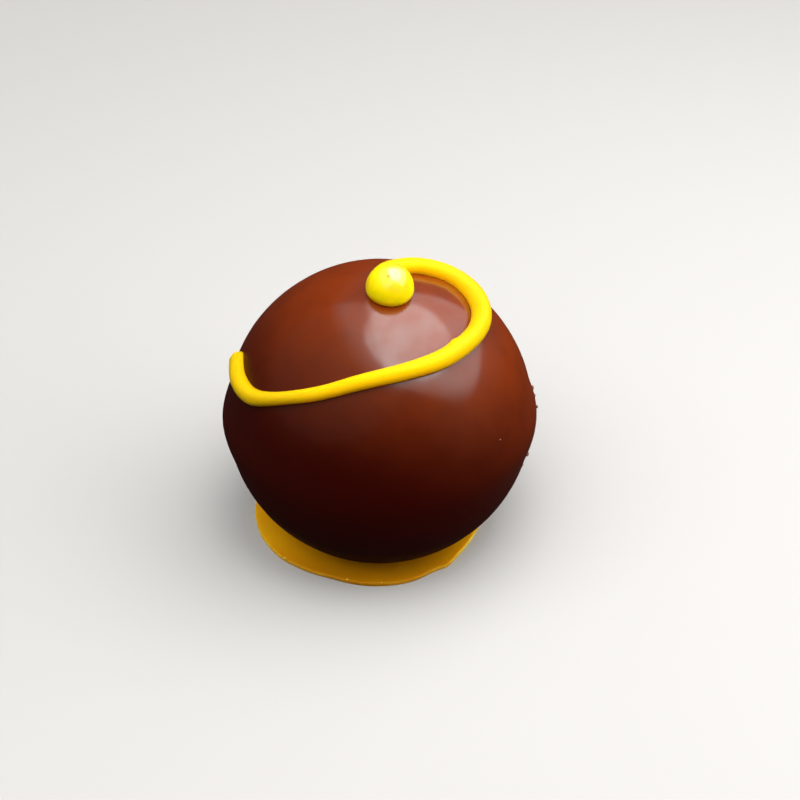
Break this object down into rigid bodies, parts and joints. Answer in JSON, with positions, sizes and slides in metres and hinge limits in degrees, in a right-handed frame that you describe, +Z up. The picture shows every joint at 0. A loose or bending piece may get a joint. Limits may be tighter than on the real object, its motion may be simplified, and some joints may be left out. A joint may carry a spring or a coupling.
{
  "type": "chocolate praline",
  "caption": "Round moulded chocolate with a soft belt at its middle, standing on a thin yellow disc, with a yellow bead on top and a yellow line piped in a swirl.",
  "frame": {"origin": "on the table, below the middle of the ball", "axes": "+Z up through the ball's middle; the camera side with the long run of the piped line faces -Y, +X to its right"},
  "size_m": [0.0288, 0.0282, 0.0285],
  "materials": {
    "chocolate": "satin milk chocolate, reddish brown",
    "yellow_piping": "satin yellow cocoa butter",
    "yellow_disc": "soft matt yellow chocolate"
  },
  "bodies": {
    "root": {"chocolate_ball": "chocolate", "base_disc": "yellow_disc", "top_bead": "yellow_piping", "piped_line": "yellow_piping"}
  },
  "joints": []
}
